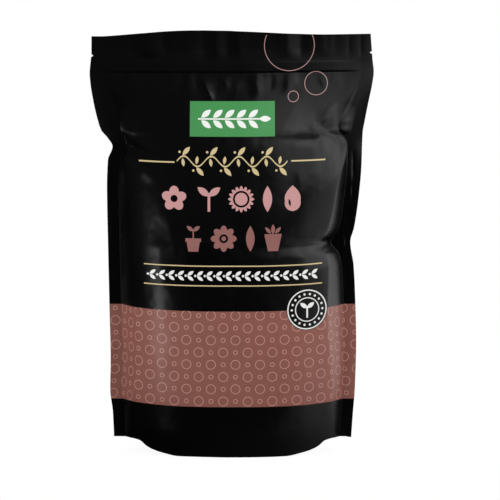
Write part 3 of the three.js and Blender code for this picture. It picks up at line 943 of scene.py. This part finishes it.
def dusty_row(p):
    """The lower row of plant signs."""
    z = DUSTY_LEVEL
    pot_at, flower_at, leaf_at, bowl_at = DUSTY_PLACES
    potted = p.union(p.pot(pot_at, z - 13.6, 14.0, 8.2), p.sprout(pot_at, z, 13.5, 8.4))
    flower = p.without(p.flower(flower_at, z, 13.6, 8.0, 0.3), p.disc(flower_at, z, 4.6))
    seed = p.disc(flower_at, z, 2.4)
    leaf = p.leaf(leaf_at, z, SIGN_HEIGHT, 9.0, 90.0)
    bowl = p.union(p.bar(bowl_at, z - 6.0, 6.9, 7.4, 0.22), p.bar(bowl_at, z + 3.0, 8.8, 1.6))
    tuft = [p.leaf(bowl_at + away, z + up, length, width, turn) for away, up, length, width, turn in BOWL_LEAVES]
    return p.union(potted, flower, seed, leaf, bowl, *tuft)


def leaf_row(p):
    """A garland of leaf pairs and beads between the double rules."""
    local_x, _ = p.repeat(p.x, -LEAF_ROW_HALF, LEAF_PITCH)
    away = p.math("ABSOLUTE", p.minus(p.z, LEAF_ROW_LEVEL))
    pair = p.leaf(1.4, 2.6, 8.0, 3.4, 36.0, local_x, away)
    bead = p.disc(-3.6, 0.0, 1.2, local_x, away)
    return p.within(p.union(pair, bead), p.bar(0.0, LEAF_ROW_LEVEL, LEAF_ROW_HALF, 8.0))


def badge(p):
    """The round badge: its black field, then the white lines and sprout on it."""
    x, z = BADGE
    dx, dz = p.minus(p.x, x), p.minus(p.z, z)
    step, _ = p.repeat(p.math("ARCTAN2", dx, dz), 0.0, 2 * math.pi / BADGE_BEADS)
    beads = p.disc(0.0, BEAD_CIRCLE, 1.15, p.times(step, BEAD_CIRCLE), p.reach(dx, dz))
    rings = [p.ring(x, z, radius, half_line) for radius, half_line in BADGE_RINGS]
    return p.disc(x, z, BADGE_RADIUS), p.union(*rings, beads, p.sprout(x, z - 8.6, 17.0, 9.0))


def film_material(name, groups, printed):
    """Black laminate film. Printed says which print it carries: front, back or None."""
    material = bare(bpy.data.materials.new(name))
    p = Print(material.node_tree, groups)
    place = p.add("ShaderNodeTexCoord").outputs["Object"]
    finish = p.group(groups["finish"], Vector=place, Gloss=FILM_GLOSS, Rub=FILM_RUB)
    colour = p.mix(p.times(finish.outputs["Rubbed"], RUB_SHOWS), BLACK_FILM, RUBBED_FILM)
    rough = finish.outputs["Roughness"]
    if printed:
        band = p.bar(0.0, sum(BAND) / 2, float(FILM_WIDTH), (BAND[1] - BAND[0]) / 2)
        tone = p.add("ShaderNodeTexNoise", {"Vector": place, "Scale": 60.0, "Detail": 5.0}).outputs["Fac"]
        rose = p.mix(p.times(tone, ROSE_MOTTLE), ROSE, ROSE_SHADE)
        rose = p.mix(p.times(ring_field(p), RING_SHOWS), rose, ROSE_LINE)
        colour = p.mix(band, colour, rose)
        ink = band
    if printed == "front":
        rules = [p.bar(at, level, half, GOLD_HALF_LINE) for at, level, half in GOLD_RULES]
        rules += [p.bar(DOUBLE_RULE_MIDDLE, level, DOUBLE_RULE_HALF, DOUBLE_HALF_LINE) for level in DOUBLE_RULES]
        below_seal = p.bar(0.0, 0.0, float(FILM_WIDTH), STAND_HEIGHT - TOP_SEAL)
        rings = [p.ring(x, z, radius, LOOSE_HALF_LINE) for x, z, radius in LOOSE_RINGS]
        panel, pinks = p.bar(*GREEN_PANEL), pink_row(p)
        field, lines = badge(p)
        layers = [
            (panel, GREEN), (p.union(sprig(p), leaf_row(p)), WHITE_INK), (p.union(vine(p), *rules), GOLD),
            (pinks, PINK), (dusty_row(p), DUSTY_PINK), (p.within(p.union(*rings), below_seal), THIN_PINK),
            (field, BLACK_FILM), (lines, WHITE_INK),
        ]
        for shape, tint in layers:
            colour = p.mix(shape, colour, tint)
        ink = p.without(p.union(ink, panel, pinks), field)
    if printed:
        rough = p.plus(rough, p.times(ink, INK_DULLNESS))
    skin = finish.outputs["Height"]
    bump = p.add("ShaderNodeBump", {"Strength": SKIN_STRENGTH, "Distance": SKIN_DEPTH, "Height": skin})
    shader = p.add("ShaderNodeBsdfPrincipled", {"Base Color": colour, "Roughness": rough})
    shader.inputs["Specular IOR Level"].default_value = FILM_SPECULAR
    p.join(bump.outputs[0], shader.inputs["Normal"])
    p.add("ShaderNodeOutputMaterial", {"Surface": shader.outputs[0]})
    return material


def film_materials():
    """The film of the front, the back and the base, from one set of node groups."""
    groups = {
        "ring": ring_group(),
        "bar": bar_group(),
        "leaf": leaf_group(),
        "flower": flower_group(),
        "repeat": repeat_group(),
        "finish": finish_group(),
    }
    return {side: film_material(f"film_{side}", groups, side if side != "base" else None)
            for side in ("front", "back", "base")}


# The photographed view: picture scale in pixels per millimetre at the seals, and where the ground line falls
PICTURE = 500
PICTURE_SCALE = 0.9457
MIDDLE_PIXEL = 232
GROUND_PIXEL = 450.5
VIEW_RISE = 7.0  # degrees above level
CAMERA_DISTANCE = 5.0


def place_camera():
    """A long lens that frames the pouch as the picture does."""
    rise = math.radians(VIEW_RISE)
    across = (PICTURE / 2 - MIDDLE_PIXEL) / PICTURE_SCALE * MM
    up = (GROUND_PIXEL - PICTURE / 2) / (PICTURE_SCALE * math.cos(rise)) * MM
    camera = bpy.data.cameras.new("camera")
    camera.sensor_width = 36
    camera.lens = camera.sensor_width * CAMERA_DISTANCE / (PICTURE / PICTURE_SCALE * MM)
    camera.clip_end = 100
    eye = placed("camera", camera)
    eye.location = (across, -CAMERA_DISTANCE * math.cos(rise), up + CAMERA_DISTANCE * math.sin(rise))
    eye.rotation_euler = (math.pi / 2 - rise, 0, 0)
    bpy.context.scene.camera = eye


LAMP_AIM = 0.22  # metres above the table, about half-way up the pouch


def softbox(name, azimuth, rise, distance, size, watts):
    """An area lamp that faces the pouch. Azimuth is in degrees from straight in front, positive to the right."""
    lamp = bpy.data.lights.new(name, "AREA")
    lamp.shape = "RECTANGLE"
    lamp.size, lamp.size_y = size
    lamp.energy = watts
    holder = placed(name, lamp)
    turn, lift = math.radians(azimuth), math.radians(rise)
    away = Vector((math.sin(turn) * math.cos(lift), -math.cos(turn) * math.cos(lift), math.sin(lift)))
    holder.location = Vector((0, 0, LAMP_AIM)) + away * distance
    holder.rotation_euler = away.to_track_quat("Z", "Y").to_euler()


def kinds_of_ray(nodes):
    """1 for rays straight from the camera, and 1 for rays that were mirrored or passed through."""
    path = nodes.add("ShaderNodeLightPath").outputs
    mirrored = nodes.larger(path["Is Glossy Ray"], path["Is Transmission Ray"])
    return path["Is Camera Ray"], mirrored


# Brightness over the direction looked in, as ramps of (from, to, low, high)
WALL_BEHIND = (0.2, 0.8, 0.0, 1.0)
WALL_RIGHTWARD = (0.2, 0.7, 0.5, 1.3)
CEILING_UPWARD = (0.03, 0.17, 0.004, 0.06)
CEILING_RIGHTWARD = (-0.1, 0.45, 0.8, 2.9)
TABLE_RIGHTWARD = (0.55, 0.9, 0.0, 0.6)
TABLE_DOWNWARD = (0.04, -0.06, 0.0, 1.0)
LIGHT_RIGHTWARD = (-1.0, 1.0, 1.1, 0.52)
WHITE = (1.0, 1.0, 1.0, 1.0)

# (name, azimuth, rise, distance, (width, height), watts)
LAMPS = [
    ("softbox_right", 79, 30, 1.5, (1.1, 1.5), 5.5),
    ("softbox_above", 48, 39, 1.7, (1.05, 1.75), 4.2),
    ("softbox_left", -58, -9, 1.9, (0.42, 0.42), 1.7),
    ("softbox_back", 168, 40, 1.8, (1.2, 0.8), 4.0),
]


def light_room():
    """White surroundings for the eye, soft light that is stronger from the left, and a dark room to mirror: a pale
    wall behind the pouch, a faint ceiling, and the table's far end at the right."""
    world = bare(bpy.data.worlds.new("studio"))
    bpy.context.scene.world = world
    n = Nodes(world.node_tree)
    direct, mirrored = kinds_of_ray(n)
    towards = n.add("ShaderNodeTexCoord").outputs["Generated"]
    right, back, up = n.add("ShaderNodeSeparateXYZ", {"Vector": towards}).outputs
    behind = n.plus(n.times(back, 0.9), n.times(right, 0.5))
    wall = n.times(n.ramp(behind, *WALL_BEHIND), n.ramp(right, *WALL_RIGHTWARD))
    ceiling = n.times(n.ramp(up, *CEILING_UPWARD), n.ramp(right, *CEILING_RIGHTWARD))
    table = n.times(n.ramp(right, *TABLE_RIGHTWARD), n.ramp(up, *TABLE_DOWNWARD))
    around = n.larger(n.larger(wall, table), ceiling)
    shown = n.larger(direct, n.times(mirrored, around))
    light = n.add("ShaderNodeBackground", {"Color": WHITE, "Strength": n.ramp(right, *LIGHT_RIGHTWARD)}).outputs[0]
    room = n.add("ShaderNodeBackground", {"Color": WHITE, "Strength": shown}).outputs[0]
    pick = n.larger(direct, mirrored)
    mixed = n.add("ShaderNodeMixShader", {0: pick, 1: light, 2: room}).outputs[0]
    n.add("ShaderNodeOutputWorld", {"Surface": mixed})
    for lamp in LAMPS:
        softbox(*lamp)


# The table top, in metres, and its tones as shares of white. To mirrored and bounced rays it carries painted shade,
# dark towards its left and paler to the right.
TABLE_RADIUS = 0.62
TABLE_SOLID = 0.55  # share of the radius from which it fades
TABLE_MIDDLE = (-0.05, 0.36)
TABLE_GAP = 0.0002  # so that the gusset and the table top never share a plane
TABLE_CORNERS = 96
TABLE_TONE = 0.1
TABLE_GLOW = 0.93
# Painted shade on the table, seen only in the film's reflections and in bounce light: black at the left, rising to
# the table's tone at the right
TABLE_PAINTED_SHADE = (-0.05, 0.15, 0.0, TABLE_TONE)
MIRRORED_SHARE = 0.2


def lay_table():
    """A round table top, white to the eye, that fades into the white surroundings and isn't seen from below. In
    reflections and bounce light it carries painted shade, dark towards its left.
    """
    turns = [2 * math.pi * k / TABLE_CORNERS for k in range(TABLE_CORNERS)]
    rim = [(TABLE_RADIUS * math.cos(turn), TABLE_RADIUS * math.sin(turn), 0) for turn in turns]
    mesh = bpy.data.meshes.new("floor")
    mesh.from_pydata(rim, [], [list(range(TABLE_CORNERS))])
    floor = placed("floor", mesh)
    floor.location = (*TABLE_MIDDLE, -TABLE_GAP)
    material = bare(bpy.data.materials.new("floor_white"))
    n = Nodes(material.node_tree)
    direct, mirrored = kinds_of_ray(n)
    place = n.add("ShaderNodeTexCoord").outputs["Object"]
    across = n.add("ShaderNodeSeparateXYZ", {"Vector": place}).outputs[0]
    # Painted shade: the table's tone for mirrored and bounced rays is black at its left and rises to the right,
    # while the eye still sees an even white
    painted_shade_tone = n.ramp(across, *TABLE_PAINTED_SHADE)
    tone = n.larger(n.times(direct, TABLE_TONE), painted_shade_tone)
    lit = n.add("ShaderNodeBsdfDiffuse", {"Color": tone}).outputs[0]
    # The table's faint glow in reflections carries the same painted shade
    faint = n.times(n.times(mirrored, painted_shade_tone), MIRRORED_SHARE)
    shown = n.larger(n.times(direct, TABLE_GLOW), faint)
    glow = n.add("ShaderNodeEmission", {"Color": WHITE, "Strength": shown}).outputs[0]
    both = n.add("ShaderNodeAddShader", {0: lit, 1: glow}).outputs[0]
    reach = n.add("ShaderNodeVectorMath", {0: place}, operation="LENGTH").outputs["Value"]
    fade = n.ramp(reach, TABLE_RADIUS * TABLE_SOLID, TABLE_RADIUS, interpolation_type="SMOOTHSTEP")
    below = n.add("ShaderNodeNewGeometry").outputs["Backfacing"]
    clear = n.add("ShaderNodeBsdfTransparent").outputs[0]
    edge = n.add("ShaderNodeMixShader", {0: n.larger(fade, below), 1: both, 2: clear}).outputs[0]
    n.add("ShaderNodeOutputMaterial", {"Surface": edge})
    mesh.materials.append(material)


def main():
    """The three film pieces, set into the solid's box, dressed and lit."""
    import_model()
    place_camera()
    pieces = {
        "front": make_panel("front_panel", -1),
        "back": make_panel("back_panel", 1),
        "base": make_base("base_gusset"),
    }
    low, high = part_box("pouch")
    corners = np.array([v.co for piece in pieces.values() for v in piece.data.vertices])
    near, far = corners.min(axis=0), corners.max(axis=0)
    shift = [(low[k] + high[k]) / 2 - (near[k] + far[k]) / 2 for k in (0, 1)] + [low[2] - near[2]]
    materials = film_materials()
    for side, piece in pieces.items():
        for v in piece.data.vertices:
            v.co += Vector(shift)
        piece.data.materials.append(materials[side])
        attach(piece, "root")
        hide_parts("pouch")
    light_room()
    lay_table()
    bpy.context.scene.view_settings.view_transform = "Standard"


main()
